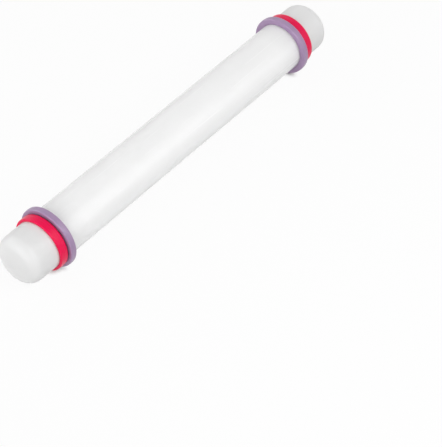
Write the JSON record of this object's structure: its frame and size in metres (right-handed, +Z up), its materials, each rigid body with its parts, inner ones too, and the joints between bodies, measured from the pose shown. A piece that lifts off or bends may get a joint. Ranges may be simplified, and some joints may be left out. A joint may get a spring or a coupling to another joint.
{
  "type": "adjustable rolling pin",
  "caption": "Small smooth white rolling pin with rounded ends and slide-on pink and purple guide rings that set how thick the dough is rolled.",
  "frame": {"origin": "below the middle of the barrel, on the surface that the larger rings stand on", "axes": "+X along the barrel's axis towards the right end, +Y to the back, +Z up"},
  "size_m": [0.2286, 0.0322, 0.0322],
  "materials": {
    "white_plastic": "smooth satin milky white polypropylene tube",
    "cap_plastic": "satin moulded milky white polypropylene",
    "pink_silicone": "satin moulded silicone, bright pink",
    "purple_silicone": "satin moulded silicone, greyed purple"
  },
  "bodies": {
    "roller": {"barrel": "white_plastic", "left_end_cap": "cap_plastic", "right_end_cap": "cap_plastic"},
    "left_purple": {"left_purple_ring": "purple_silicone"},
    "left_pink": {"left_pink_ring": "pink_silicone"},
    "right_purple": {"right_purple_ring": "purple_silicone"},
    "right_pink": {"right_pink_ring": "pink_silicone"}
  },
  "joints": [
    {"name": "left_purple_slide", "type": "slide", "parent": "roller", "child": "left_purple", "axis": [-1, 0, 0], "range_m": [-0.086, 0.032]},
    {"name": "left_pink_slide", "type": "slide", "parent": "left_purple", "child": "left_pink", "axis": [-1, 0, 0], "range_m": [0, 0.03]},
    {"name": "right_purple_slide", "type": "slide", "parent": "roller", "child": "right_purple", "axis": [1, 0, 0], "range_m": [-0.086, 0.032]},
    {"name": "right_pink_slide", "type": "slide", "parent": "right_purple", "child": "right_pink", "axis": [1, 0, 0], "range_m": [0, 0.03]}
  ]
}
